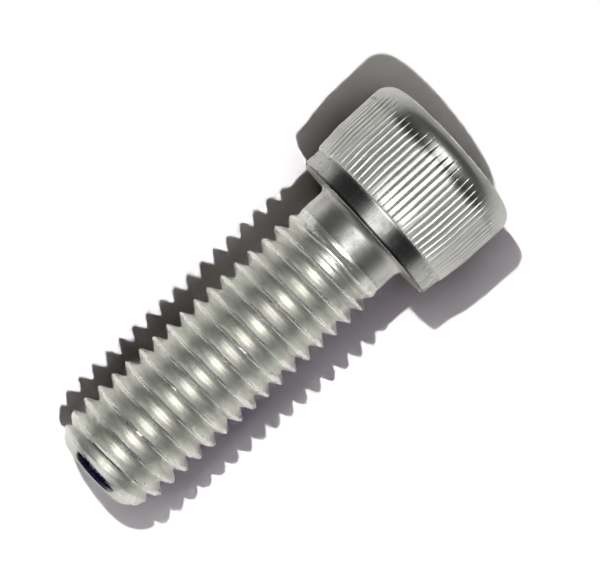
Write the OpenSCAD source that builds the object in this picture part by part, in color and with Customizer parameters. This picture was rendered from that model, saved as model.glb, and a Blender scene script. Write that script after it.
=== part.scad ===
// Hex socket cap screw of about M12 x 35, with a coarse right-hand thread.
// Each module draws the screw upright: its bearing face at z = 0, the head above, the thread
// below. The finished screw is then laid on its side, as it comes to rest on a table, with its
// knurled head towards +X. It touches the table, z = 0, with the knurl and with one thread crest.

/* [Head] */
// Diameter over the ridges of the knurl
head_d = 17.8; // [17.5:0.1:19]
// Height of the head above its bearing face
head_h = 11.4; // [11:0.1:13]
// Radius of the rounded edge round the top of the head
head_edge_r = 1.7; // [0.8:0.1:2.2]
// Height of the smooth band below the knurl
band_h = 2.1; // [1.4:0.1:2.6]
// How far the smooth band leans in from the knurl to the edge of the bearing face
band_lean = 0.15; // [0.05:0.01:0.4]

/* [Knurl] */
// Number of straight flutes round the head
flute_count = 80; // [60:1:96]
// Depth of a flute
flute_depth = 0.24; // [0.12:0.02:0.3]
// Angle between the two walls of a flute, in degrees
flute_angle = 84; // [60:2:100]
// Height above the bearing face up to which the flutes keep their full depth
flute_full_h = 8; // [5:0.1:8.4]
// Height over which the flutes then fade out
flute_fade_h = 2; // [1:0.1:2.2]
// Height over which the knurled wall slopes out to its full diameter
knurl_lead_h = 2.7; // [1.5:0.1:3.5]
// How far the ridges slope out over that height
knurl_lean = 0.26; // [0.1:0.02:0.4]
// How far the ridges stand out from the smooth band at the knurl's lower edge
knurl_step = 0.14; // [0.06:0.02:0.2]

/* [Socket] */
// Width across the flats of the hexagonal socket
socket_af = 10.1; // [8:0.05:10.4]
// Depth of the socket's flat walls below the top of the head
socket_depth = 6.1; // [5:0.1:7]
// Width of the bevel at the socket's mouth, outside the hexagon's corners
socket_bevel = 0.25; // [0.1:0.05:0.4]
// Angle of the drilled cone at the socket's bottom, in degrees
drill_angle = 120; // [110:5:140]

/* [Neck] */
// Diameter of the plain neck under the head
neck_d = 10.6; // [10.4:0.02:11]
// Length of the plain neck, from the bearing face to the end of the thread
neck_len = 2.9; // [2:0.1:5]
// Radius of the fillet between the neck and the bearing face
fillet_r = 0.9; // [0.4:0.05:1.1]
// Length of the bevel by which the neck dips into the thread
neck_bevel = 0.6; // [0.4:0.05:0.8]

/* [Thread] */
// Diameter over the crests of the thread
thread_d = 11.75; // [11.6:0.05:12.2]
// Distance from one crest to the next
pitch = 1.75; // [1.5:0.05:2]
// Depth of the thread from crest to root
thread_depth = 1.16; // [0.9:0.02:1.2]
// Length of the screw under its head
shank_len = 34.7; // [20:0.1:60]
// Length over which the thread fades into the neck
runout_len = 2.4; // [1.5:0.1:3.5]
// Diameter of the flat end face
tip_d = 8.3; // [7.6:0.1:9]
// Length of the steep bevel at the tip
tip_bevel_len = 0.95; // [0.5:0.05:1]
// Radial height of the steep bevel at the tip
tip_bevel = 0.9; // [0.5:0.05:1]
// Length of the shallow taper that follows the bevel
tip_taper_len = 2.1; // [1.5:0.1:3]
// Distance from the tip to the crest that touches the table
rest_crest = 3.69; // [3.2:0.01:4.2]

/* [Hidden] */

head_r = head_d / 2;
knurl_low_r = head_r - knurl_lean;
band_r = knurl_low_r - knurl_step;
bearing_r = band_r - band_lean;
thread_r = thread_d / 2;
neck_r = neck_d / 2;
tip_z = -shank_len;
eps = 0.02;

// Sectors round the thread and segments in a quarter of a rounded edge
SECTORS = 40;
ARC_STEPS = 8;
$fn = 96;

// One pitch of the thread, from crest to crest, as [height, depth] at each corner.
// The crest is an eighth of the pitch wide, the flanks lean 30 degrees and the root is rounded.
crest_flat = pitch / 8;
corner_depth = 0.92 * thread_depth;
corner_z = crest_flat / 2 + corner_depth * tan(30);
PROFILE = [
    [-crest_flat / 2, 0],
    [crest_flat / 2, 0],
    [corner_z, corner_depth],
    [pitch / 2, thread_depth],
    [pitch - corner_z, corner_depth],
];
PER_TURN = len(PROFILE);

// The thread's solid runs past the tip, where the taper cuts it, and ends inside the neck.
thread_low_z = tip_z - pitch;
thread_high_z = -neck_len + pitch / 4;
thread_inner_r = neck_r - 3 * eps;
first_z = tip_z + rest_crest - pitch * ceil((rest_crest + 2 * pitch) / pitch + 1);
row_count = PER_TURN * ceil((thread_high_z - first_z) / pitch + 2);

// The lying screw touches the table with one thread crest and with an edge of its knurl,
// the one that leans the screw over furthest. Edges are [height, radius].
rest_edge_z = tip_z + rest_crest - crest_flat / 2;
KNURL_EDGES = [[band_h, knurl_low_r], [band_h + knurl_lead_h, head_r]];
lie_angle = max([for (e = KNURL_EDGES) atan((e[1] - thread_r) / (e[0] - rest_edge_z))]);
bearing_centre_h = thread_r * cos(lie_angle) - rest_edge_z * sin(lie_angle);

// Where the lying screw's two ends are along X, seen from its bearing face
head_end_x = (head_r - head_edge_r) * sin(lie_angle)
    + (head_h - head_edge_r) * cos(lie_angle) + head_edge_r;
tip_end_x = tip_z * cos(lie_angle) - tip_d / 2 * sin(lie_angle);

// Points on an arc from one angle to another round a centre
function arc(centre, r, from, to) = [
    for (i = [0 : ARC_STEPS])
        let (a = from + (to - from) * i / ARC_STEPS)
            centre + r * [cos(a), sin(a)]
];

// Height of a thread row at a sector; a right-hand thread climbs one pitch in a full turn
function row_z(row, sector) =
    first_z + PROFILE[row % PER_TURN][0]
    + pitch * (floor(row / PER_TURN) + sector / SECTORS);

// Share of the run-out that a height has reached: 0 on the full thread, 1 at the neck
function runout_at(z) = min(1, max(0, (z + neck_len + runout_len) / runout_len));

function row_r(row, z) =
    let (full_r = thread_r - PROFILE[row % PER_TURN][1])
        full_r + (thread_inner_r - full_r) * runout_at(z);

// Number of the point at a row and sector. Rows past either end fall on that end's ring.
function point_at(row, sector) =
    sector == SECTORS ? point_at(row + PER_TURN, 0) :
    let (z = row_z(row, sector))
        z <= thread_low_z ? sector :
        z >= thread_high_z ? SECTORS + sector :
        SECTORS * (2 + row) + sector;

function ring_points(r, z) = [
    for (sector = [0 : SECTORS - 1])
        let (a = 360 * sector / SECTORS) [r * cos(a), r * sin(a), z]
];

function distinct(face) = face[0] != face[1] && face[1] != face[2] && face[2] != face[0];

// The head's outline, to be turned round the screw's axis
module head_outline() {
    polygon(concat(
        [[0, 0], [bearing_r, 0], [band_r, band_h]],
        [[knurl_low_r, band_h], [head_r, band_h + knurl_lead_h]],
        arc([head_r - head_edge_r, head_h - head_edge_r], head_edge_r, 0, 90),
        [[0, head_h]]
    ));
}

// A V-shaped cut whose bottom line runs from one [radius, height] to another
module v_cut(from, to) {
    wide = 2 * flute_depth;
    half_w = wide * tan(flute_angle / 2);
    run = to - from;
    translate([from[0], 0, from[1]])
        rotate([0, atan2(run[0], run[1]), 0])
        linear_extrude(height = norm(run))
        polygon([[0, 0], [wide, -half_w], [wide, half_w]]);
}

// One flute: it starts level with the smooth band, deepens along the sloping wall,
// keeps its full depth and then leans out of the wall.
module flute() {
    root_r = head_r - flute_depth;
    full_z = band_h + knurl_lead_h;
    v_cut([band_r + eps, band_h - eps], [root_r, full_z]);
    v_cut([root_r, full_z - eps], [root_r, flute_full_h + eps]);
    v_cut([root_r, flute_full_h], [head_r + flute_depth, flute_full_h + 2 * flute_fade_h]);
}

module flutes() {
    for (i = [0 : flute_count - 1])
        rotate([0, 0, 360 * (i + 0.5) / flute_count]) flute();
}

// The hexagonal socket with its bevelled mouth and the drilled cone at its bottom
module socket() {
    corner_r = socket_af / 2 / cos(30);
    mouth_r = corner_r + socket_bevel;
    over = 1;
    floor_z = head_h - socket_depth;
    translate([0, 0, floor_z])
        rotate([0, 0, 30])
        cylinder(h = socket_depth + over, r = corner_r, $fn = 6);
    translate([0, 0, head_h - mouth_r])
        cylinder(h = mouth_r + over, r1 = 0, r2 = mouth_r + over);
    cone_h = socket_af / 2 / tan(drill_angle / 2);
    translate([0, 0, floor_z - cone_h])
        cylinder(h = cone_h + eps, r1 = 0, r2 = socket_af / 2 - eps);
}

module head() {
    difference() {
        rotate_extrude() head_outline();
        flutes();
        socket();
    }
}

// The plain neck with the fillet that joins it to the bearing face
module neck() {
    inside = 0.5;
    low_z = -neck_len - neck_bevel;
    rotate_extrude()
        polygon(concat(
            [[0, inside], [0, low_z], [neck_r - neck_bevel, low_z], [neck_r, -neck_len]],
            arc([neck_r + fillet_r, -fillet_r], fillet_r, 180, 90),
            [[neck_r + fillet_r, inside]]
        ));
}

// The helical thread before its tip is tapered
module thread_form() {
    points = concat(
        ring_points(thread_r - thread_depth, thread_low_z),
        ring_points(thread_inner_r, thread_high_z),
        [
            for (row = [0 : row_count - 1], sector = [0 : SECTORS - 1])
                let (
                    z = row_z(row, sector),
                    r = row_r(row, z),
                    a = 360 * sector / SECTORS
                )
                    [r * cos(a), r * sin(a), z]
        ]
    );
    sides = [
        for (row = [0 : row_count - PER_TURN - 1], sector = [0 : SECTORS - 1])
            let (
                a = point_at(row, sector),
                b = point_at(row + 1, sector),
                c = point_at(row + 1, sector + 1),
                d = point_at(row, sector + 1)
            )
                each [for (face = [[a, b, c], [a, c, d]]) if (distinct(face)) face]
    ];
    low_end = [for (sector = [0 : SECTORS - 1]) sector];
    high_end = [for (sector = [SECTORS - 1 : -1 : 0]) SECTORS + sector];
    polyhedron(points, concat(sides, [low_end, high_end]), convexity = 10);
}

// The steep bevel and the shallow taper at the tip, as the outline of what they leave
module tip_outline() {
    clear = 0.5;
    bevel_r = tip_d / 2 + tip_bevel;
    bevel_z = tip_z + tip_bevel_len;
    rise = (thread_r - bevel_r) / tip_taper_len;
    polygon([
        [0, tip_z],
        [tip_d / 2, tip_z],
        [bevel_r, bevel_z],
        [thread_r + clear, bevel_z + tip_taper_len + clear / rise],
        [thread_r + clear, 0],
        [0, 0],
    ]);
}

module thread() {
    intersection() {
        thread_form();
        rotate_extrude() tip_outline();
    }
}

module cap_screw() {
    color("silver")
        translate([-(head_end_x + tip_end_x) / 2, 0, bearing_centre_h])
        rotate([0, 90 - lie_angle, 0]) {
            head();
            neck();
            thread();
        }
}

cap_screw();
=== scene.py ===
"""A hex socket cap screw lying on a pale table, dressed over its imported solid."""

import logging
import math
from dataclasses import dataclass, field
from enum import Enum
from typing import Callable, Iterable, Union

import bmesh
import bpy
from mathutils import Matrix, Vector


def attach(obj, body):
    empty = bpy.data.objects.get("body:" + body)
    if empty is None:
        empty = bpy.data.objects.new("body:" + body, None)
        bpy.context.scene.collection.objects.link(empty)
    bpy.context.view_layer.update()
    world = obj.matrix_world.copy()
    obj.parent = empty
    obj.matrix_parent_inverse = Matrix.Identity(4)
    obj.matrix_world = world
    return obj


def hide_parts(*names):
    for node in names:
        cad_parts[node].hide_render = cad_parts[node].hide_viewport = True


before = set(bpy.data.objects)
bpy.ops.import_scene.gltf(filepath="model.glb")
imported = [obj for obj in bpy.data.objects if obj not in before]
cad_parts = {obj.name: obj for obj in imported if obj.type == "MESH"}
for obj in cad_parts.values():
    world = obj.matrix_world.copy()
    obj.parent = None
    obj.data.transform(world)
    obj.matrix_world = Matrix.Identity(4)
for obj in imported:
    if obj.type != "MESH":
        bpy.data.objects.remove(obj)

logging.basicConfig(level=logging.INFO, format="%(message)s")
LOG = logging.getLogger("cap_screw")

NODE = "cap_screw"
BODY = "root"
MM = 0.001
WELD = 0.0005  # in millimetres, the unit in which the forms are made
INSET = 0.004  # how far the dressed surface stays inside the solid, in millimetres


# --------------------------------------------------------------------- node trees


def sign(operation: str, swapped: bool = False) -> Callable[["Field", "Operand"], "Field"]:
    """Makes the method for one sign of arithmetic.

    Args:
        operation: The name of the function that the sign stands for.
        swapped: Whether the other value comes first.

    Returns:
        The method.
    """
    def worked_out(self: "Field", other: "Operand") -> "Field":
        """The result of the two values."""
        return self.graph.math(operation, *((other, self) if swapped else (self, other)))
    return worked_out


class Field:
    """A value that a node tree works out, with the usual arithmetic on it."""

    def __init__(self, graph: "Graph", socket: bpy.types.NodeSocket) -> None:
        """Keeps the tree and the socket that gives the value."""
        self.graph = graph
        self.socket = socket

    __add__ = __radd__ = sign("ADD")
    __mul__ = __rmul__ = sign("MULTIPLY")
    __sub__, __rsub__ = sign("SUBTRACT"), sign("SUBTRACT", swapped=True)
    __truediv__, __rtruediv__ = sign("DIVIDE"), sign("DIVIDE", swapped=True)


Operand = Union[Field, float, int, str, bool, tuple, bpy.types.ID]


class Graph:
    """A node tree under construction, for a shape, a finish or an effect."""

    def __init__(self, tree: bpy.types.NodeTree) -> None:
        """Keeps the tree that the nodes go into."""
        self.tree = tree
        self._entry: bpy.types.Node | None = None
        self._exit: bpy.types.Node | None = None

    @classmethod
    def group(cls, name: str, kind: str) -> "Graph":
        """Makes an empty node group.

        Args:
            name: The group's name.
            kind: The type of tree, for shapes or for shading.

        Returns:
            The graph of the new group.
        """
        return cls(bpy.data.node_groups.new(name, kind))

    @classmethod
    def shading(cls, owner: bpy.types.Material | bpy.types.World) -> "Graph":
        """Empties the node tree of a material or a world, for its own nodes."""
        owner.use_nodes = True
        owner.node_tree.nodes.clear()
        return cls(owner.node_tree)

    def entries(self, kind: str, *names: str) -> list[Field]:
        """Adds named inputs of one kind to the group.

        Args:
            kind: What they take, such as Float.
            *names: Their names.

        Returns:
            The inputs' values inside the group, in order.
        """
        for name in names:
            self.tree.interface.new_socket(name, in_out="INPUT", socket_type="NodeSocket" + kind)
        if self._entry is None:
            self._entry = self.tree.nodes.new("NodeGroupInput")
        return [Field(self, self._entry.outputs[name]) for name in names]

    def leave(self, name: str, kind: str, value: Field) -> None:
        """Adds a named output to the group and feeds it.

        Args:
            name: The output's name.
            kind: What it gives, such as Float.
            value: What the group puts out there.
        """
        self.tree.interface.new_socket(name, in_out="OUTPUT", socket_type="NodeSocket" + kind)
        if self._exit is None:
            self._exit = self.tree.nodes.new("NodeGroupOutput")
        self.tree.links.new(value.socket, self._exit.inputs[name])

    def feed(self, socket: bpy.types.NodeSocket, value: Operand) -> None:
        """Links a value to a socket, or writes a plain number there.

        Args:
            socket: The input socket.
            value: A field or a plain value.
        """
        if isinstance(value, Field):
            self.tree.links.new(value.socket, socket)
        else:
            socket.default_value = value

    def show(self, shader: Field, target: str = "Material") -> None:
        """Links a shader to the output of the material, or of the world."""
        self.node("ShaderNodeOutput" + target, {"Surface": shader})

    def node(self, kind: str, inputs: dict | None = None, **settings: object) -> bpy.types.Node:
        """Adds a node.

        Args:
            kind: The node's type.
            inputs: Values by the name or number of the input socket.
            **settings: The node's own options.

        Returns:
            The new node.
        """
        made = self.tree.nodes.new(kind)
        for name, value in settings.items():
            setattr(made, name, value)
        for key, value in (inputs or {}).items():
            if isinstance(key, int):
                socket = made.inputs[key]
            else:
                socket = next(s for s in made.inputs if s.name == key and s.enabled)
            self.feed(socket, value)
        return made

    def value(self, kind: str, inputs: dict | None = None, out: str | int = 0,
              **settings: object) -> Field:
        """Adds a node and takes one of its outputs.

        Args:
            kind: The node's type.
            inputs: Values by the name or number of the input socket.
            out: The name or number of the output.
            **settings: The node's own options.

        Returns:
            The output as a field.
        """
        made = self.node(kind, inputs, **settings)
        if isinstance(out, int):
            return Field(self, [s for s in made.outputs if s.enabled][out])
        return Field(self, next(s for s in made.outputs if s.name == out and s.enabled))

    def math(self, operation: str, *values: Operand, clamp: bool = False) -> Field:
        """Adds a sum, product or other function of one to three values.

        Args:
            operation: The name of the function.
            *values: Its operands.
            clamp: Whether the result is held between 0 and 1.

        Returns:
            The result.
        """
        return self.value("ShaderNodeMath", dict(enumerate(values)),
                          operation=operation, use_clamp=clamp)

    def parts(self, vector: Field) -> tuple[Field, Field, Field]:
        """Takes a vector apart.

        Args:
            vector: The vector.

        Returns:
            Its three coordinates.
        """
        node = self.node("ShaderNodeSeparateXYZ", {0: vector})
        x, y, z = (Field(self, socket) for socket in node.outputs)
        return x, y, z

    def vector(self, x: Operand, y: Operand, z: Operand) -> Field:
        """Makes a vector of three coordinates."""
        return self.value("ShaderNodeCombineXYZ", {0: x, 1: y, 2: z})

    def blend(self, share: Operand, low: Operand, high: Operand) -> Field:
        """A number between two others.

        Args:
            share: 0 gives the low one and 1 the high one.
            low: The first number.
            high: The second number.

        Returns:
            The number between them.
        """
        return self.value("ShaderNodeMix", {"Factor": share, "A": low, "B": high},
                          data_type="FLOAT")

    def tint(self, share: Operand, low: Operand, high: Operand, how: str = "MIX") -> Field:
        """A colour between two others, or one laid over the other.

        Args:
            share: How much of the second colour is taken.
            low: The first colour.
            high: The second colour.
            how: The way that they are mixed.

        Returns:
            The mixed colour.
        """
        return self.value("ShaderNodeMix", {"Factor": share, "A": low, "B": high},
                          data_type="RGBA", blend_type=how)

    def noise(self, where: Field, scale: Operand, detail: float = 2.0, seed: Operand = 0.0,
              rough: float = 0.5) -> Field:
        """A soft random value that changes over the surface.

        Args:
            where: The place it is read at.
            scale: How many swings there are in a unit of length.
            detail: How many finer layers it has.
            seed: Which pattern it is.
            rough: How strong the finer layers are.

        Returns:
            A value around one half.
        """
        return self.value("ShaderNodeTexNoise",
                          {"Vector": where, "W": seed, "Scale": scale, "Detail": detail,
                           "Roughness": rough},
                          noise_dimensions="4D")

    def ramp(self, value: Operand, low: Operand, high: Operand) -> Field:
        """Stretches a value so that it runs smoothly from 0 at low to 1 at high.

        Args:
            value: The value.
            low: Where the result is 0.
            high: Where the result is 1.

        Returns:
            The stretched value.
        """
        return self.value("ShaderNodeMapRange",
                          {"Value": value, "From Min": low, "From Max": high},
                          interpolation_type="SMOOTHSTEP")


# --------------------------------------------------------------------- shapes


class Zone(Enum):
    """What a row of a turned form follows."""

    ROUND = 0.0
    HEXAGON = 1.0


@dataclass(frozen=True)
class Row:
    """One ring of a turned form, in millimetres.

    Attributes:
        radius: Its distance from the axis.
        height: Its height along the axis.
        flute: How deep the flutes are there, as a share of their full depth.
        zone: Whether the ring is round or follows the socket's hexagon.
        slant: How far the ring dips, per millimetre that the hexagon is narrower.
        dull_and_shade: How much darker and smoother it is, with painted shade on its uppermost
            side, from 0, where rubbed places show, to 1; above 1, up to 2, it carries a painted
            dark line.
    """

    radius: float
    height: float
    flute: float = 0.0
    zone: Zone = Zone.ROUND
    slant: float = 0.0
    dull_and_shade: float = 0.0


def arc(centre: tuple[float, float], radius: float, start: float, end: float,
        steps: int) -> list[tuple[float, float]]:
    """Points on an arc, both ends among them.

    Args:
        centre: Its centre, as radius and height.
        radius: Its radius.
        start: The angle of the first point, in degrees.
        end: The angle of the last point, in degrees.
        steps: The number of segments.

    Returns:
        The points, as radius and height.
    """
    angles = (math.radians(start + (end - start) * i / steps) for i in range(steps + 1))
    return [(centre[0] + radius * math.cos(a), centre[1] + radius * math.sin(a)) for a in angles]


def ruled_grid(g: Graph, columns: Field, spans: Field) -> tuple[Field, Field, Field, Field]:
    """Makes the flat grid that a form is bent from.

    Args:
        g: The form's tree.
        columns: The number of columns once round the axis.
        spans: The number of spaces between its rows.

    Returns:
        The grid, and at each point its column, its row and its share of a turn.
    """
    grid = g.value("GeometryNodeMeshGrid", {"Size X": 1.0, "Size Y": 1.0,
                                            "Vertices X": columns + 1,
                                            "Vertices Y": spans + 1}, "Mesh")
    x, y, _ = g.parts(g.value("GeometryNodeInputPosition"))
    column = g.math("ROUND", (x + 0.5) * columns)
    row = g.math("ROUND", (y + 0.5) * spans)
    return grid, column, row, g.math("MODULO", column, columns) / columns


def around_axis(g: Graph, radius: Operand, angle: Field, height: Field) -> Field:
    """The point at a radius, an angle and a height."""
    return g.vector(g.math("COSINE", angle) * radius, g.math("SINE", angle) * radius, height)


def put_out(g: Graph, grid: Field, where: Field, marks: dict[str, Field], main: Field,
            other: Field, chosen: Field) -> None:
    """Bends a grid into its form, welds it, dresses it and puts it out.

    Args:
        g: The form's tree.
        grid: The flat grid.
        where: Where each of its points goes.
        marks: The values that the finishes read from its points, by name.
        main: The finish of most of it.
        other: The finish of the chosen faces.
        chosen: Which faces those are.
    """
    for name, value in marks.items():
        grid = g.value("GeometryNodeStoreNamedAttribute",
                       {"Geometry": grid, "Name": name, "Value": value},
                       data_type="FLOAT", domain="POINT")
    form = g.value("GeometryNodeSetPosition", {"Geometry": grid, "Position": where})
    form = g.value("GeometryNodeMergeByDistance", {"Geometry": form, "Distance": WELD})
    form = g.value("GeometryNodeRealizeInstances", {"Geometry": form})
    form = g.value("GeometryNodeSetMaterial", {"Geometry": form, "Material": main})
    form = g.value("GeometryNodeSetMaterial",
                   {"Geometry": form, "Selection": chosen, "Material": other})
    g.leave("Geometry", "Geometry", form)


def turned_form_tree() -> bpy.types.NodeTree:
    """Builds the tree that turns an outline round the axis and presses flutes into it.

    Returns:
        The node tree, with named inputs.
    """
    g = Graph.group("turned_form", "GeometryNodeTree")
    (outline,) = g.entries("Geometry", "Outline")
    columns, count, seed = g.entries("Int", "Columns", "Flute Count", "Seed")
    depth, crown, uneven = g.entries("Float", "Flute Depth", "Ridge Crown", "Unevenness")
    outer, inner = g.entries("Material", "Outer Material", "Socket Material")

    rows = g.value("GeometryNodeAttributeDomainSize", {"Geometry": outline}, "Point Count",
                   component="MESH")
    grid, _, row, around = ruled_grid(g, columns, rows - 1)

    def sampled(value: Field, kind: str) -> Field:
        """The outline's value on this row."""
        return g.value("GeometryNodeSampleIndex",
                       {"Geometry": outline, "Value": value, "Index": row},
                       data_type=kind, domain="POINT")

    def named(name: str) -> Field:
        """The outline's own number of that name on this row."""
        return sampled(g.value("GeometryNodeInputNamedAttribute", {"Name": name},
                               data_type="FLOAT"), "FLOAT")

    radius, _, height = g.parts(sampled(g.value("GeometryNodeInputPosition"), "FLOAT_VECTOR"))
    share = named("flute")
    hexed = named("zone")
    slant = named("slant")

    angle = around * math.tau
    sixth = g.math("FRACT", angle / math.radians(60) + 0.5) - 0.5
    narrow = math.cos(math.radians(30)) / g.math("COSINE", sixth * math.radians(60))
    hexagon = g.blend(hexed, 1.0, narrow)
    dip = slant * radius * (1 - narrow)

    turn = around * count
    flute = g.math("FLOOR", turn)
    off_groove = g.math("ABSOLUTE", g.math("FRACT", turn) - 0.5) * 2
    lift = g.value("FunctionNodeRandomValue", {"Min": 0.0, "Max": 1.0, "ID": flute, "Seed": seed},
                   data_type="FLOAT")
    swing = g.noise(g.vector(flute * 0.37, height * 0.55, 0.0), 1.0, 2.0, 3.7) - 0.5
    fading = 4 * share * (1 - share)
    eased = g.math("MULTIPLY_ADD", uneven * fading, (lift - 0.5) * 1.6 + swing, share, clamp=True)
    groove = g.math("POWER", 1 - off_groove, crown)
    cut = g.math("MAXIMUM", groove - (1 - eased), 0.0) * depth * (1 + uneven * swing * 0.8)
    ripple = g.noise(around_axis(g, radius, angle, height), 1.1, 2.0, 9.1) - 0.5
    ripple = ripple * uneven * 0.05 * g.math("MINIMUM", share * 9, 1.0)
    final = radius * hexagon - cut - g.math("MAXIMUM", ripple, 0.0)
    relief = 1 - g.math("DIVIDE", cut, g.math("MAXIMUM", depth, 0.001), clamp=True)

    inside = g.value("GeometryNodeInputNamedAttribute", {"Name": "inside"}, data_type="FLOAT")
    deep = g.value("FunctionNodeCompare", {"A": inside, "B": 0.6}, data_type="FLOAT",
                   operation="GREATER_THAN")
    put_out(g, grid, around_axis(g, final, angle, height - dip),
            {"relief": relief, "inside": named("inside"), "dull_and_shade": named("dull_and_shade")},
            outer, inner, deep)
    return g.tree


def rolled_thread_tree() -> bpy.types.NodeTree:
    """Builds the tree that winds the thread's profile up the shank.

    Returns:
        The node tree, with named inputs.
    """
    g = Graph.group("rolled_thread", "GeometryNodeTree")
    g.entries("Geometry", "Geometry")
    sectors, per_turn, turns = g.entries("Int", "Sectors", "Rows Per Pitch", "Turns")
    pitch, crest_r, depth, flat = g.entries(
        "Float", "Pitch", "Crest Radius", "Depth", "Crest Flat")
    crest_soft, root_soft, first = g.entries(
        "Float", "Crest Rounding", "Root Rounding", "First Crest")
    low, high, neck_r, runout = g.entries(
        "Float", "Low End", "High End", "Neck Radius", "Run-out Length")
    tip_r, tip_z, bevel_len, bevel_up, taper_len = g.entries(
        "Float", "Tip Radius", "Tip Height", "Bevel Length", "Bevel Rise", "Taper Length")
    nicks, seed = g.entries("Float", "Nick Depth", "Seed")
    main, at_tip = g.entries("Material", "Material", "Tip Material")

    grid, sector, row, around = ruled_grid(g, sectors, turns * per_turn)
    angle = around * math.tau
    climbed = first + pitch * (row / per_turn + sector / sectors)
    height = g.math("MINIMUM", g.math("MAXIMUM", climbed, low), high)

    phase = (height - first) / pitch - sector / sectors
    off_crest = g.math("ABSOLUTE", g.math("FRACT", phase + 0.5) - 0.5) * pitch
    flank = (off_crest - flat * 0.5) * math.sqrt(3)
    sunk = g.math("SMOOTH_MAX", flank, 0.0, crest_soft)
    sunk = g.math("SMOOTH_MIN", sunk, depth, root_soft)

    on_crest = around_axis(g, crest_r, angle, height)
    crest = 1 - g.math("DIVIDE", sunk, depth, clamp=True)
    dents = g.ramp(g.noise(on_crest, 1.3, 1.0, seed), 0.60, 0.80) * nicks
    waves = (g.noise(on_crest, 0.45, 1.0, seed + 5.0) - 0.3) * nicks * 0.5
    sunk = sunk + (dents + waves) * g.math("POWER", crest, 2.0)

    climb = g.math("DIVIDE", height - (high - runout), runout, clamp=True)
    full = g.blend(climb, crest_r - sunk, neck_r)
    bevel = tip_r + (height - tip_z) * bevel_up / bevel_len
    taper = (tip_r + bevel_up
             + (height - tip_z - bevel_len) * (crest_r - tip_r - bevel_up) / taper_len)
    tapered = g.math("SMOOTH_MIN", bevel, taper, 0.06)
    radius = g.math("SMOOTH_MIN", full, tapered, 0.03)

    _, _, z = g.parts(g.value("GeometryNodeInputPosition"))
    faced = g.value("FunctionNodeCompare", {"A": z, "B": tip_z + bevel_len * 0.9},
                    data_type="FLOAT", operation="LESS_THAN")
    put_out(g, grid, around_axis(g, radius, angle, height),
            {"relief": g.blend(climb, crest, 0.7)}, main, at_tip, faced)
    return g.tree


def placed(name: str, data: bpy.types.ID) -> bpy.types.Object:
    """Makes an object and puts it in the scene."""
    made = bpy.data.objects.new(name, data)
    bpy.context.scene.collection.objects.link(made)
    return made


def grown(name: str, start: bpy.types.Mesh, tree: bpy.types.NodeTree,
          values: dict[str, object]) -> bpy.types.Object:
    """Runs a shape tree and keeps its result as a plain mesh.

    Args:
        name: The name of the form.
        start: The mesh that the tree starts from.
        tree: The shape tree.
        values: The tree's inputs by name.

    Returns:
        An object with the plain mesh and no modifier.
    """
    seed = placed(name, start)
    modifier = seed.modifiers.new(name, "NODES")
    modifier.node_group = tree
    sockets = {s.name: s.identifier for s in tree.interface.items_tree
               if s.item_type == "SOCKET" and s.in_out == "INPUT"}
    for key, value in values.items():
        modifier[sockets[key]] = value
    graph = bpy.context.evaluated_depsgraph_get()
    mesh = bpy.data.meshes.new_from_object(seed.evaluated_get(graph), depsgraph=graph)
    seed.modifiers.remove(modifier)
    seed.data = mesh
    mesh.name = name
    return seed


def outline_mesh(name: str, rows: Iterable[Row], inside_from: int | None = None) -> bpy.types.Mesh:
    """Makes the outline that a turned form starts from.

    Args:
        name: The mesh's name.
        rows: Its rings, in order.
        inside_from: The number of the first ring that lies in the socket.

    Returns:
        A mesh with one point for each ring.
    """
    rows = list(rows)
    mesh = bpy.data.meshes.new(name)
    mesh.from_pydata([(r.radius, 0.0, r.height) for r in rows], [], [])
    columns = {
        "flute": [r.flute for r in rows],
        "zone": [r.zone.value for r in rows],
        "slant": [r.slant for r in rows],
        "inside": [float(inside_from is not None and i >= inside_from) for i in range(len(rows))],
        "dull_and_shade": [r.dull_and_shade for r in rows],
    }
    for key, numbers in columns.items():
        mesh.attributes.new(key, "FLOAT", "POINT").data.foreach_set("value", numbers)
    return mesh


# --------------------------------------------------------------------- finishes

BLACK = (0.0, 0.0, 0.0, 1.0)
LINE_COLOUR = (0.80, 0.80, 0.78, 1.0)
RUBBED_COLOUR = (0.86, 0.86, 0.84, 1.0)
# The near-black painted shade of the line along the bearing edge.
PAINTED_EDGE_SHADE_COLOUR = (0.02, 0.02, 0.025, 1.0)
LINE_SHARE = 0.25  # how much of their colour the fine lines give
PIT_DARK = 0.75  # how dark the pits are
DULL_EVEN = 0.62  # the share of a dull ring's darkness that doesn't follow the stains
DULL_PAINTED_TOP_SHADE = 0.79  # how strong the painted shade on the uppermost side is on dull rings
DULL_SHEEN = 0.2  # how much less rough dull rings are
# The painted shade on the uppermost side fades between these, as one less the cosine of the angle
# from the uppermost line.
PAINTED_TOP_SHADE_EDGE = (0.08, 0.42)
BUMP_DEPTH = 0.00003  # in metres


@dataclass(frozen=True)
class Steel:
    """How one part of the screw's plated surface looks.

    Attributes:
        name: The finish's name.
        bright: The plating's colour.
        dull_and_shade: Its colour where it is stained, pitted or lies deep and on dull rings, in
            the deep places partly as painted shade.
        roughness: How rough the plain plating is.
        spread: How far the roughness swings.
        streak: Scale of the fine lines, round the axis and along it.
        streak_depth: Depth of the fine lines.
        stain: How strong the staining is.
        pit_share: How much of the surface the small pits take.
        groove_grime_and_shade: How much darker the deep places are, as grime and as painted shade.
        bump: How strong the fine relief is.
        painted_top_shade: How strong the painted shade on its uppermost side is. Dull rings have
            more.
    """

    name: str
    bright: tuple[float, float, float] = (0.60, 0.61, 0.58)
    dull_and_shade: tuple[float, float, float] = (0.30, 0.29, 0.27)
    roughness: float = 0.24
    spread: float = 0.16
    streak: tuple[float, float] = (0.4, 9.0)
    streak_depth: float = 0.25
    stain: float = 0.35
    pit_share: float = 0.5
    groove_grime_and_shade: float = 0.35
    bump: float = 0.5
    painted_top_shade: float = 0.0


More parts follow.
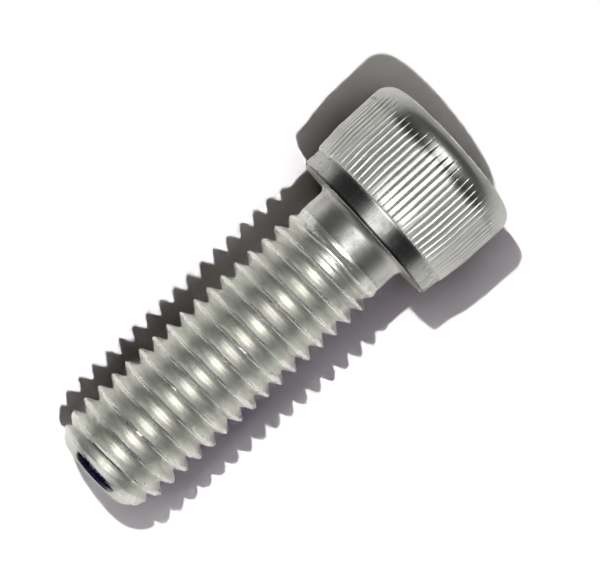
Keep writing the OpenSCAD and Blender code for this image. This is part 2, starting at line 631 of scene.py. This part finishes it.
HEAD_STEEL = Steel("knurled_steel", bright=(0.66, 0.67, 0.64), dull_and_shade=(0.27, 0.28, 0.28),
                   roughness=0.48, streak=(5.0, 0.35), groove_grime_and_shade=0.9, stain=0.3)
SOCKET_STEEL = Steel("broached_steel", bright=(0.5, 0.5, 0.49), roughness=0.34,
                     streak=(5.0, 0.3), groove_grime_and_shade=0.0, stain=0.5)
# The neck carries painted shade on its uppermost side.
NECK_STEEL = Steel("turned_steel", bright=(0.50, 0.50, 0.48), dull_and_shade=(0.20, 0.20, 0.20),
                   roughness=0.46, streak=(0.2, 8.0), groove_grime_and_shade=0.0, stain=0.9,
                   pit_share=0.8, painted_top_shade=0.5)
THREAD_STEEL = Steel("rolled_steel", bright=(0.82, 0.83, 0.785), roughness=0.31,
                     streak=(0.25, 7.0), groove_grime_and_shade=0.22, stain=0.4, pit_share=0.6, bump=0.25)
TIP_STEEL = Steel("faced_steel", bright=(0.68, 0.69, 0.66), roughness=0.14, spread=0.10,
                  streak=(0.2, 5.0), groove_grime_and_shade=0.0, stain=0.15, pit_share=0.2)


class Effects:
    """The effects that the finishes share, each made once as a node group."""

    def __init__(self) -> None:
        """Makes every group."""
        self.mottle = self._mottle()
        self.streaks = self._streaks()
        self.pits = self._pits()
        self.wear = self._wear()
        self.tint = self._tint()

    @staticmethod
    def _mottle() -> bpy.types.NodeTree:
        """Cloudy staining of the plating, in large and small patches."""
        g = Graph.group("plating_mottle", "ShaderNodeTree")
        (where,) = g.entries("Vector", "Vector")
        scale, seed = g.entries("Float", "Scale", "Seed")
        cloud = g.noise(where, scale, 3.0, seed, 0.55)
        grain = g.noise(where, scale * 7, 2.0, seed + 3.0, 0.6)
        g.leave("Patches", "Float", g.ramp(cloud * 0.7 + grain * 0.3, 0.42, 0.68))
        g.leave("Grain", "Float", grain)
        return g.tree

    @staticmethod
    def _streaks() -> bpy.types.NodeTree:
        """Fine lines left by rolling and turning."""
        g = Graph.group("tool_streaks", "ShaderNodeTree")
        (where,) = g.entries("Vector", "Vector")
        across, along, seed = g.entries("Float", "Across", "Along", "Seed")
        x, y, z = g.parts(where)
        stretched = g.vector(x * across, y * across, z * along)
        lines = g.noise(stretched, 1.0, 3.0, seed, 0.65)
        g.leave("Height", "Float", lines)
        g.leave("Mask", "Float", g.ramp(lines, 0.4, 0.7))
        return g.tree

    @staticmethod
    def _pits() -> bpy.types.NodeTree:
        """Small scattered pits and specks."""
        g = Graph.group("small_pits", "ShaderNodeTree")
        (where,) = g.entries("Vector", "Vector")
        scale, share = g.entries("Float", "Scale", "Share")
        wobble = g.value("ShaderNodeTexNoise", {"Vector": where, "Scale": 4.0, "Detail": 1.0},
                         "Color")
        bent = g.value("ShaderNodeVectorMath", {0: wobble, 1: (0.25, 0.25, 0.25)},
                       operation="MULTIPLY")
        bent = g.value("ShaderNodeVectorMath", {0: where, 1: bent}, operation="ADD")
        cells = g.node("ShaderNodeTexVoronoi", {"Vector": bent, "Scale": scale, "Randomness": 1.0},
                       feature="F1")
        near = Field(g, cells.outputs["Distance"])
        pick, size, _ = g.parts(Field(g, cells.outputs["Color"]))
        chosen = g.math("LESS_THAN", pick, share)
        spot = (1 - g.ramp(near, 0.03, 0.08 + size * 0.12)) * chosen
        g.leave("Mask", "Float", spot)
        return g.tree

    @staticmethod
    def _wear() -> bpy.types.NodeTree:
        """Rubbed bright places on crests and ridges."""
        g = Graph.group("crest_wear", "ShaderNodeTree")
        relief, grain, amount = g.entries("Float", "Relief", "Grain", "Amount")
        rubbed = g.ramp(relief + (grain - 0.5) * 0.5, 0.72, 1.0) * amount
        deep = 1 - g.ramp(relief + (grain - 0.5) * 0.3, 0.05, 0.6)
        g.leave("Rubbed", "Float", rubbed)
        g.leave("Deep", "Float", deep)
        return g.tree

    @staticmethod
    def _tint() -> bpy.types.NodeTree:
        """The faint green and pink tints of passivated zinc."""
        g = Graph.group("passivation_tint", "ShaderNodeTree")
        (where,) = g.entries("Vector", "Vector")
        scale, seed = g.entries("Float", "Scale", "Seed")
        drift = g.ramp(g.noise(where, scale, 2.0, seed, 0.6), 0.36, 0.64)
        g.leave("Color", "Color",
                g.tint(drift, (0.965, 1.0, 0.955, 1.0), (1.0, 0.962, 0.985, 1.0)))
        return g.tree


@dataclass(frozen=True)
class Lie:
    """How the screw lies on the table.

    Attributes:
        angle: How far its axis leans up towards the head, in degrees.
        x: Where the centre of the bearing face is along X, in millimetres.
        height: How high that centre is, in millimetres.
    """

    angle: float
    x: float
    height: float

    @property
    def matrix(self) -> Matrix:
        """From the upright screw in millimetres to the lying one in metres."""
        turn = Matrix.Rotation(math.radians(90 - self.angle), 4, "Y")
        return Matrix.Scale(MM, 4) @ Matrix.Translation((self.x, 0.0, self.height)) @ turn


class SteelFinish:
    """Builds the material of one finish."""

    def __init__(self, effects: Effects, lie: Lie) -> None:
        """Keeps the shared effects and the way that the screw lies."""
        self.effects = effects
        self.lie = lie

    def build(self, steel: Steel) -> bpy.types.Material:
        """Makes the material.

        Args:
            steel: The values of the finish.

        Returns:
            The material.
        """
        made = bpy.data.materials.new(steel.name)
        g = Graph.shading(made)
        seen = g.value("ShaderNodeTexCoord", out="Object")
        centre = self.lie.matrix.to_translation()
        local = g.value("ShaderNodeMapping",
                        {"Vector": seen, "Location": tuple(centre),
                         "Rotation": (0.0, math.radians(90 - self.lie.angle), 0.0),
                         "Scale": (MM, MM, MM)}, vector_type="TEXTURE")
        relief = g.value("ShaderNodeAttribute", out="Fac", attribute_name="relief")

        def effect(tree: bpy.types.NodeTree, **inputs: Operand) -> dict[str, Field]:
            """Places one of the shared effects and gives what it puts out, by name."""
            node = g.node("ShaderNodeGroup", inputs, node_tree=tree)
            return {socket.name: Field(g, socket) for socket in node.outputs}

        mottle = effect(self.effects.mottle, Vector=local, Scale=0.55, Seed=2.3)
        patches, grain = mottle["Patches"], mottle["Grain"]
        across, along = steel.streak
        lines = effect(self.effects.streaks, Vector=local, Across=across, Along=along, Seed=4.1)
        pit = effect(self.effects.pits, Vector=local, Scale=1.5, Share=steel.pit_share)["Mask"]
        wear = effect(self.effects.wear, Relief=relief, Grain=grain, Amount=0.6)
        rubbed, deep = wear["Rubbed"], wear["Deep"]
        tint = effect(self.effects.tint, Vector=local, Scale=1.3, Seed=6.4)["Color"]
        # The ring's own value: darker and smoother rings with painted shade on top, and above 1 a
        # painted dark line.
        marked = g.value("ShaderNodeAttribute", out="Fac", attribute_name="dull_and_shade")
        dulled_and_shaded = g.math("MINIMUM", marked, 1.0)

        # Stains, pits and dull rings darken the colour, and so do the deep places, partly as grime
        # and partly as painted shade.
        dirt_and_shade = g.math("MAXIMUM", patches * steel.stain, deep * steel.groove_grime_and_shade)
        dirt_and_shade = g.math("MAXIMUM", dirt_and_shade, pit * PIT_DARK)
        dirt_and_shade = g.math("MAXIMUM", dirt_and_shade, dulled_and_shaded * (DULL_EVEN + patches * (1 - DULL_EVEN)))
        colour = g.tint(dirt_and_shade, (*steel.bright, 1.0), (*steel.dull_and_shade, 1.0))
        colour = g.tint(lines["Mask"] * LINE_SHARE, colour, LINE_COLOUR)
        colour = g.tint(g.math("MAXIMUM", 0.5 - marked * 0.5, 0.0) * rubbed, colour, RUBBED_COLOUR)
        colour = g.tint(1.0, colour, tint, "MULTIPLY")
        # Painted shade: where the ring's value is above 1, a near-black line is painted, as along
        # the bearing edge.
        colour = g.tint(g.math("SUBTRACT", marked, 1.0, clamp=True), colour, PAINTED_EDGE_SHADE_COLOUR)
        # Painted shade: the uppermost side is darkened towards black, fading out to the sides,
        # fixed on the surface.
        x, y, _ = g.parts(local)
        aside = g.ramp(x / g.math("SQRT", x * x + y * y + 0.01) + 1, *PAINTED_TOP_SHADE_EDGE)
        painted_top_shade = g.math("MAXIMUM", dulled_and_shaded * DULL_PAINTED_TOP_SHADE, steel.painted_top_shade) * (1 - aside)
        colour = g.tint(painted_top_shade, colour, BLACK)
        rough = steel.roughness + (patches * 0.6 + grain * 0.5 - 0.45) * steel.spread
        rough = rough - dulled_and_shaded * DULL_SHEEN
        rough = g.math("ADD", rough, deep * 0.12 + pit * 0.2 - rubbed * 0.05, clamp=True)
        height = lines["Height"] * steel.streak_depth + grain * 0.35 - pit * 1.2
        bump = g.value("ShaderNodeBump", {"Strength": steel.bump, "Distance": BUMP_DEPTH,
                                          "Height": height})
        g.show(g.value("ShaderNodeBsdfPrincipled", {"Base Color": colour, "Metallic": 1.0,
                                                    "Roughness": rough, "Normal": bump}))
        made.diffuse_color = (*steel.bright, 1.0)
        return made


# --------------------------------------------------------------------- the screw


@dataclass
class Head:
    """The knurled head with its hexagonal socket. Sizes in millimetres.

    The rolled flutes are partly filled with plating: flute_wear is the share of their depth
    that is left.
    """

    diameter: float = 17.8
    height: float = 11.4
    edge: float = 1.7
    band_height: float = 2.1
    band_lean: float = 0.15
    knurl_step: float = 0.14
    knurl_lean: float = 0.26
    lead_height: float = 2.7
    flute_count: int = 80
    flute_depth: float = 0.24
    flute_full: float = 8.0
    flute_fade: float = 2.0
    flute_wear: float = 0.5
    ridge_crown: float = 3.2
    unevenness: float = 0.34
    socket_flats: float = 10.1
    socket_depth: float = 6.1
    socket_bevel: float = 0.25
    drill_angle: float = 120.0
    columns: int = 960

    def rows(self) -> tuple[list[Row], int]:
        """The head's outline.

        Returns:
            Its rings from the bearing face round to the bottom of the socket, and the
            number of the first ring in the socket.
        """
        outer = self.diameter / 2 - INSET
        low = outer - self.knurl_lean
        band = low - self.knurl_step
        bearing = band - self.band_lean
        soft = 0.12  # the rounding round the bearing face
        lip = 0.07  # the bevel at the knurl's lower edge
        full_from = self.band_height + self.lead_height
        rows = [Row(0.0, INSET), Row(bearing - 1.5, INSET), Row(bearing - 2 * soft, INSET)]
        # The rounding round the bearing face carries a painted dark line, and the band above it is
        # darker and smoother, with painted shade on its uppermost side.
        rows += [Row(r, z + INSET, dull_and_shade=1.8)
                 for r, z in arc((bearing - soft, soft), soft, -90, 0, 3)]
        rows += [Row(bearing + 0.02, soft + 0.14, dull_and_shade=0.85),
                 Row(band - 0.02, self.band_height - 0.3, dull_and_shade=0.92),
                 Row(band, self.band_height - 0.03, dull_and_shade=0.6)]
        start = self.knurl_step / self.flute_depth
        rows += [Row(low - lip, self.band_height, start * 0.6),
                 Row(low, self.band_height + lip, start)]
        steps = 5
        for i in range(1, steps + 1):
            t = i / steps
            rows.append(Row(low + self.knurl_lean * t,
                            self.band_height + lip + (self.lead_height - lip) * t,
                            start + (1 - start) * t))
        steps = 8
        rows += [Row(outer, full_from + (self.flute_full - full_from) * i / steps, 1.0)
                 for i in range(1, steps + 1)]
        edge_from = self.height - self.edge
        steps = 8
        # The plain rings below the top edge and the start of its rounding are darker and smoother,
        # with painted shade on their uppermost side.
        for i in range(1, steps + 1):
            z = self.flute_full + (edge_from - self.flute_full) * i / steps
            rows.append(Row(outer, z, max(0.0, 1 - (z - self.flute_full) / self.flute_fade),
                            dull_and_shade=min(1.6 * i, 1.1 * steps - 0.6 * i) / steps))
        points = arc((outer - self.edge, edge_from - INSET), self.edge, 0, 90, 11)[1:]
        rows += [Row(r, z, 0.12 if i == 0 else 0.0, dull_and_shade=max(0.0, min(0.45, 5.2 - 0.75 * i)))
                 for i, (r, z) in enumerate(points)]
        top = self.height - INSET
        corner = self.socket_flats / 2 / math.cos(math.radians(30))
        mouth = corner + self.socket_bevel
        floor = self.height - self.socket_depth
        rows += [Row(mouth + 0.06, top), Row(mouth, top - 0.03)]
        inside_from = len(rows) - 1
        rows.append(Row(corner, top - self.socket_bevel, 0.0, Zone.HEXAGON, 1.0))
        for share in (0.25, 0.5, 0.75, 1.0):
            rows.append(Row(corner, top - 1.1 + (floor - top + 1.1) * share, 0.0, Zone.HEXAGON))
        cone = self.socket_flats / 2 - 0.02
        drop = cone / math.tan(math.radians(self.drill_angle / 2))
        rows += [Row(cone, floor), Row(cone / 2, floor - drop / 2), Row(0.0, floor - drop)]
        return rows, inside_from

    def build(self, tree: bpy.types.NodeTree, outer: bpy.types.Material,
              inner: bpy.types.Material) -> bpy.types.Object:
        """Makes the head.

        Args:
            tree: The tree that turns an outline.
            outer: The finish of its outside.
            inner: The finish of the socket.

        Returns:
            The head, upright, in millimetres.
        """
        rows, inside_from = self.rows()
        return grown("head", outline_mesh("head_outline", rows, inside_from), tree, {
            "Columns": self.columns, "Flute Count": self.flute_count,
            "Flute Depth": self.flute_depth * self.flute_wear, "Ridge Crown": self.ridge_crown,
            "Unevenness": self.unevenness, "Seed": 7,
            "Outer Material": outer, "Socket Material": inner})


@dataclass
class Shank:
    """The neck and the rolled thread down to the tip. Sizes in millimetres."""

    neck_diameter: float = 10.6
    neck_length: float = 2.9
    fillet: float = 0.9
    diameter: float = 11.75
    pitch: float = 1.75
    depth: float = 1.16
    length: float = 34.7
    runout: float = 2.4
    tip_diameter: float = 8.3
    bevel_length: float = 0.95
    bevel_rise: float = 0.9
    taper_length: float = 2.1
    rest_crest: float = 3.69
    rim: float = 0.15
    nick_depth: float = 0.05
    sectors: int = 120
    rows_per_pitch: int = 16

    def neck_rows(self) -> list[Row]:
        """The neck and its fillet, closed inside the head."""
        r = self.neck_diameter / 2 - INSET
        rows = [Row(r, -self.neck_length)]
        steps = 5
        rows += [Row(r, -self.neck_length + (self.neck_length - self.fillet) * i / steps)
                 for i in range(1, steps)]
        rows += [Row(*p) for p in arc((r + self.fillet, -self.fillet), self.fillet, 180, 90, 8)]
        rows += [Row(r + self.fillet, 0.4), Row(0.0, 0.4)]
        return rows

    def tip_rows(self) -> list[Row]:
        """The end face and its rim."""
        r = self.tip_diameter / 2
        z = -self.length + INSET
        rise = self.rim * self.bevel_rise / self.bevel_length
        return [Row(0.0, z), Row(r * 0.5, z), Row(r - self.rim * 1.6, z),
                Row(r - self.rim * 0.7, z + self.rim * 0.12), Row(r, z + self.rim * 0.45),
                Row(r + rise, z + self.rim)]

    def build(self, turned: bpy.types.NodeTree, rolled: bpy.types.NodeTree,
              thread: bpy.types.Material, neck: bpy.types.Material,
              tip: bpy.types.Material) -> list[bpy.types.Object]:
        """Makes the shank's three forms, which meet ring to ring.

        Args:
            turned: The tree that turns an outline.
            rolled: The tree that winds the thread.
            thread: The finish of the thread.
            neck: The finish of the neck.
            tip: The finish of the end face and its bevel.

        Returns:
            The thread, the neck and the tip, upright, in millimetres.
        """
        tip_z = -self.length + INSET
        low = tip_z + self.rim
        high = -self.neck_length
        below = math.ceil((self.rest_crest + 2 * self.pitch) / self.pitch + 1)
        first = -self.length + self.rest_crest - self.pitch * below
        turns = math.ceil((high - first) / self.pitch) + 1
        wound = grown("thread", bpy.data.meshes.new("thread_start"), rolled, {
            "Sectors": self.sectors, "Rows Per Pitch": self.rows_per_pitch, "Turns": turns,
            "Pitch": self.pitch, "Crest Radius": self.diameter / 2 - INSET, "Depth": self.depth,
            "Crest Flat": self.pitch / 8, "Crest Rounding": 0.30, "Root Rounding": 0.8,
            "First Crest": first, "Low End": low, "High End": high,
            "Neck Radius": self.neck_diameter / 2 - INSET, "Run-out Length": self.runout,
            "Tip Radius": self.tip_diameter / 2, "Tip Height": tip_z,
            "Bevel Length": self.bevel_length, "Bevel Rise": self.bevel_rise,
            "Taper Length": self.taper_length, "Nick Depth": self.nick_depth, "Seed": 2.0,
            "Material": thread, "Tip Material": tip})
        plain = {"Columns": self.sectors, "Flute Count": 0, "Flute Depth": 0.0,
                 "Ridge Crown": 3.0, "Unevenness": 0.0, "Seed": 1, "Socket Material": neck}
        neck_form = grown("neck", outline_mesh("neck_outline", self.neck_rows()), turned,
                          {**plain, "Outer Material": neck})
        tip_form = grown("tip", outline_mesh("tip_outline", self.tip_rows()), turned,
                         {**plain, "Outer Material": tip})
        return [wound, neck_form, tip_form]


@dataclass
class CapScrew:
    """The whole screw, which is one piece.

    Attributes:
        lie: How it lies on the table.
        head: Its head.
        shank: Its shank.
    """

    lie: Lie
    head: Head = field(default_factory=Head)
    shank: Shank = field(default_factory=Shank)

    def build(self) -> bpy.types.Object:
        """Makes the screw, dresses it and puts it in the solid's place.

        Returns:
            The finished piece.
        """
        finish = SteelFinish(Effects(), self.lie)
        outer, socket, neck, thread, tip = map(finish.build, (
            HEAD_STEEL, SOCKET_STEEL, NECK_STEEL, THREAD_STEEL, TIP_STEEL))
        turned, rolled = turned_form_tree(), rolled_thread_tree()
        head = self.head.build(turned, outer, socket)
        forms = [head, *self.shank.build(turned, rolled, thread, neck, tip)]
        for form in forms:
            LOG.info("form %s: %d faces", form.name, len(form.data.polygons))
        piece = self._joined(forms)
        piece.data.transform(self.lie.matrix)
        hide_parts(NODE)
        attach(piece, BODY)
        return piece

    @staticmethod
    def _joined(forms: list[bpy.types.Object]) -> bpy.types.Object:
        """Joins the forms into one closed, smooth mesh whose faces point outwards."""
        whole = forms[0]
        with bpy.context.temp_override(active_object=whole, object=whole,
                                       selected_objects=forms, selected_editable_objects=forms):
            bpy.ops.object.join()
        whole.name = whole.data.name = "screw"
        mesh = bmesh.new()
        mesh.from_mesh(whole.data)
        bmesh.ops.remove_doubles(mesh, verts=mesh.verts, dist=WELD)
        bmesh.ops.dissolve_degenerate(mesh, edges=mesh.edges, dist=WELD / 10)
        bmesh.ops.recalc_face_normals(mesh, faces=mesh.faces)
        open_edges = sum(not e.is_manifold for e in mesh.edges)
        mesh.to_mesh(whole.data)
        volume = mesh.calc_volume(signed=True)
        mesh.free()
        whole.data.shade_smooth()
        whole.data.set_sharp_from_angle(angle=math.radians(42))
        whole.data.calc_loop_triangles()
        LOG.info("screw: %d triangles, %d open edges, %.1f mm3",
                 len(whole.data.loop_triangles), open_edges, volume)
        return whole


# --------------------------------------------------------------------- the studio


@dataclass(frozen=True)
class Lamp:
    """A lamp.

    Attributes:
        name: Its name.
        aside: How far it leans from overhead across the screw, in degrees.
        along: How far it leans along the screw, towards the head, in degrees.
        distance: How far it is from the screw, in metres.
        size: Its size across the screw and along it, in metres.
        power: Its power, in watts.
        colour: Its colour.
        on_table: Whether it lights the table.
        in_metal: Whether the metal shows it.
    """

    name: str
    aside: float
    along: float
    distance: float
    size: tuple[float, float]
    power: float
    colour: tuple[float, float, float] = (1.0, 1.0, 1.0)
    on_table: bool = True
    in_metal: bool = True


@dataclass(frozen=True)
class View:
    """Where the camera stands, measured from the centre of the bearing face.

    Attributes:
        focal: Its focal length, in pixels of the picture.
        width: The picture's width, in pixels.
        along: How far it stands along the screw, in millimetres.
        above: How far it stands above the screw and square to it, in millimetres.
        turns: Its turns about its own X, Y and Z, in degrees.
    """

    focal: float = 1879.7
    width: float = 600.0
    along: float = -8.80
    above: float = 179.9
    turns: tuple[float, float, float] = (-0.049, -0.169, -42.161)


@dataclass
class Studio:
    """The table, the lamps, the surroundings and the camera.

    Attributes:
        lie: How the screw lies, which places the camera.
        lamps: The lamps.
        view: Where the camera stands.
        target: The point that the lamps face, in metres.
        surround: Brightness of the dim room above the table.
        low_colour: Colour of the room's lowest part.
        horizon: How high that part reaches, as the start and end of its fading.
        near: Where the table round the screw ends and its plain far part begins, in metres.
        floor_colour: The table's colour.
        floor_mirrored: The near table's brightness as the metal shows it, before its shade.
        floor_seen: The near table's brightness as the camera sees it, before its shade.
        shade_mirrored: What is taken off as the metal shows it, which deepens the shadows.
        shade_seen: What is taken off as the camera sees it.
        under_half: Half the length and half the width of the strip right under the screw, where
            both lamps are hidden and less is taken off, in metres.
        under_less: The share that isn't taken off there.
        far_seen: Brightness of the plain far part as the camera sees it.
        far_mirrored: Its brightness as the metal shows it.
    """

    lie: Lie
    lamps: tuple[Lamp, ...] = (
        Lamp("lamp_left", 19.6, 3.4, 0.23, (0.005, 0.005), 0.129, (1.0, 0.985, 0.978),
             in_metal=False),
        Lamp("lamp_right", -16.0, -11.0, 0.226, (0.005, 0.005), 0.144, (1.0, 0.976, 0.99),
             in_metal=False),
        Lamp("lamp_above", -5.0, -8.0, 0.5, (0.26, 0.40), 1.9, on_table=False),
        Lamp("lamp_tip", 0.0, -54.0, 0.4, (0.7, 0.12), 0.26, on_table=False),
    )
    view: View = View()
    target: tuple[float, float, float] = (0.0, 0.0, 0.008)
    surround: float = 0.12
    low_colour: tuple[float, float, float] = (0.85, 0.85, 0.84)
    horizon: tuple[float, float] = (0.06, 0.16)
    near: tuple[float, float] = (0.040, 0.060)
    floor_colour: tuple[float, float, float] = (0.62, 0.61, 0.59)
    floor_mirrored: tuple[float, float, float] = (2.9, 2.9, 2.85)
    floor_seen: tuple[float, float, float] = (3.94, 3.96, 3.96)
    shade_mirrored: float = 0.85
    shade_seen: float = 1.13
    under_half: tuple[float, float] = (0.0215, 0.0047)
    under_less: float = 0.7
    far_seen: float = 1.0
    far_mirrored: float = 0.75

    def build(self) -> None:
        """Sets the whole studio up."""
        self._table()
        self._world()
        for lamp in self.lamps:
            self._lamp(lamp)
        self._card()
        self._camera()
        bpy.context.scene.view_settings.view_transform = "Standard"

    def _table(self) -> None:
        """A wide, plain, pale table top."""
        mesh = bmesh.new()
        bmesh.ops.create_circle(mesh, cap_ends=True, segments=64, radius=3.0)
        data = bpy.data.meshes.new("table")
        mesh.to_mesh(data)
        mesh.free()
        table = placed("table", data)
        made = bpy.data.materials.new("pale_table")
        g = Graph.shading(made)
        path = g.node("ShaderNodeLightPath")
        camera = Field(g, path.outputs["Is Camera Ray"])
        mirrored = g.math("ADD", Field(g, path.outputs["Is Glossy Ray"]),
                          Field(g, path.outputs["Is Transmission Ray"]), clamp=True)
        x, y, _ = g.parts(g.value("ShaderNodeTexCoord", out="Object"))
        far = g.ramp(g.math("SQRT", x * x + y * y), *self.near)
        hidden = far * (camera + mirrored)
        colour = g.tint(mirrored, (*self.floor_colour, 1.0), (*self.floor_mirrored, 1.0))
        colour = g.tint(camera, colour, (*self.floor_seen, 1.0))
        lit = g.value("ShaderNodeBsdfDiffuse", {"Color": g.tint(hidden, colour, BLACK)})
        soft = 0.002  # half the width of the fading at the strip's edge, in metres
        under = 1.0
        for at, half in zip((x, y), self.under_half):
            under = under * (1 - g.ramp(g.math("ABSOLUTE", at), half - soft, half + soft))
        # Painted light: right under the screw, where both lamps are hidden, part of what is taken
        # off is left on, so that strip is lighter.
        taken = under * self.under_less * self.shade_seen - self.shade_seen
        glow = (camera * g.blend(far, taken, self.far_seen)
                + mirrored * g.blend(far, -self.shade_mirrored, self.far_mirrored))
        glowing = g.value("ShaderNodeEmission", {"Strength": glow})
        g.show(g.value("ShaderNodeAddShader", {0: lit, 1: glowing}))
        data.materials.append(made)

    def _world(self) -> None:
        """A dim room whose lowest part is as pale as the table."""
        world = bpy.data.worlds.new("room")
        g = Graph.shading(world)
        _, _, up = g.parts(g.value("ShaderNodeTexCoord", out="Generated"))
        dim = g.ramp(up, *self.horizon)
        colour = g.tint(dim, (*self.low_colour, 1.0), (*[self.surround] * 3, 1.0))
        camera = g.value("ShaderNodeLightPath", out="Is Camera Ray")
        colour = g.tint(camera, colour, (1.0, 1.0, 1.0, 1.0))
        g.show(g.value("ShaderNodeBackground", {"Color": colour, "Strength": 1.0}), "World")
        bpy.context.scene.world = world

    def _lamp(self, lamp: Lamp) -> None:
        """Hangs one lamp so that it faces the target."""
        data = bpy.data.lights.new(lamp.name, "AREA")
        data.shape = "RECTANGLE"
        data.size, data.size_y = lamp.size
        data.energy = lamp.power
        data.color = lamp.colour
        hung = placed(lamp.name, data)
        along, aside = (math.tan(math.radians(a)) for a in (lamp.along, lamp.aside))
        toward = Vector((along, aside, 1.0))
        hung.location = Vector(self.target) + toward.normalized() * lamp.distance
        hung.rotation_mode = "QUATERNION"
        hung.rotation_quaternion = (-toward).to_track_quat("-Z", "Y")
        hung.visible_diffuse = lamp.on_table
        hung.visible_glossy = lamp.in_metal

    def _card(self) -> None:
        """A small dark card beyond the tip, seen only in the metal."""
        data = bpy.data.meshes.new("dark_card")
        x, half, low, high = -0.041, 0.012, 0.0, 0.02
        data.from_pydata([(x, -half, low), (x, half, low), (x, half, high), (x, -half, high)], [],
                         [(0, 1, 2, 3)])
        card = placed("dark_card", data)
        card.visible_camera = card.visible_shadow = card.visible_diffuse = False
        made = bpy.data.materials.new("dark_blue_card")
        g = Graph.shading(made)
        g.show(g.value("ShaderNodeBsdfDiffuse", {"Color": (0.008, 0.006, 0.05, 1.0)}))
        data.materials.append(made)

    def _camera(self) -> None:
        """The camera, above the screw and square to its axis, as in the photograph."""
        data = bpy.data.cameras.new("camera")
        data.sensor_fit = "HORIZONTAL"
        data.sensor_width = 36.0
        data.lens = data.sensor_width * self.view.focal / self.view.width
        data.clip_start, data.clip_end = 0.01, 10.0
        camera = placed("camera", data)
        lean = math.radians(self.lie.angle)
        along = Vector((math.cos(lean), 0.0, math.sin(lean)))
        across = Vector((0.0, 1.0, 0.0))
        above = Vector((-math.sin(lean), 0.0, math.cos(lean)))
        frame_of_screw = Matrix((along, across, above)).transposed()
        x, y, z = (Matrix.Rotation(math.radians(turn), 3, axis)
                   for turn, axis in zip(self.view.turns, "XYZ"))
        local = x @ y @ z
        centre = Vector((self.lie.x, 0.0, self.lie.height))
        place = (centre + self.view.along * along + self.view.above * above) * MM
        camera.matrix_world = Matrix.Translation(place) @ (frame_of_screw @ local).to_4x4()
        bpy.context.scene.camera = camera


def main() -> None:
    """Builds the studio and the screw, and reports each."""
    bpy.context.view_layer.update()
    lie = Lie(angle=4.813884, x=11.477930, height=8.465793)
    Studio(lie).build()
    LOG.info("studio ready")
    piece = CapScrew(lie).build()
    LOG.info("piece %s rides on %s", piece.name, BODY)
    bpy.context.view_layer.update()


if __name__ == "__main__":
    main()
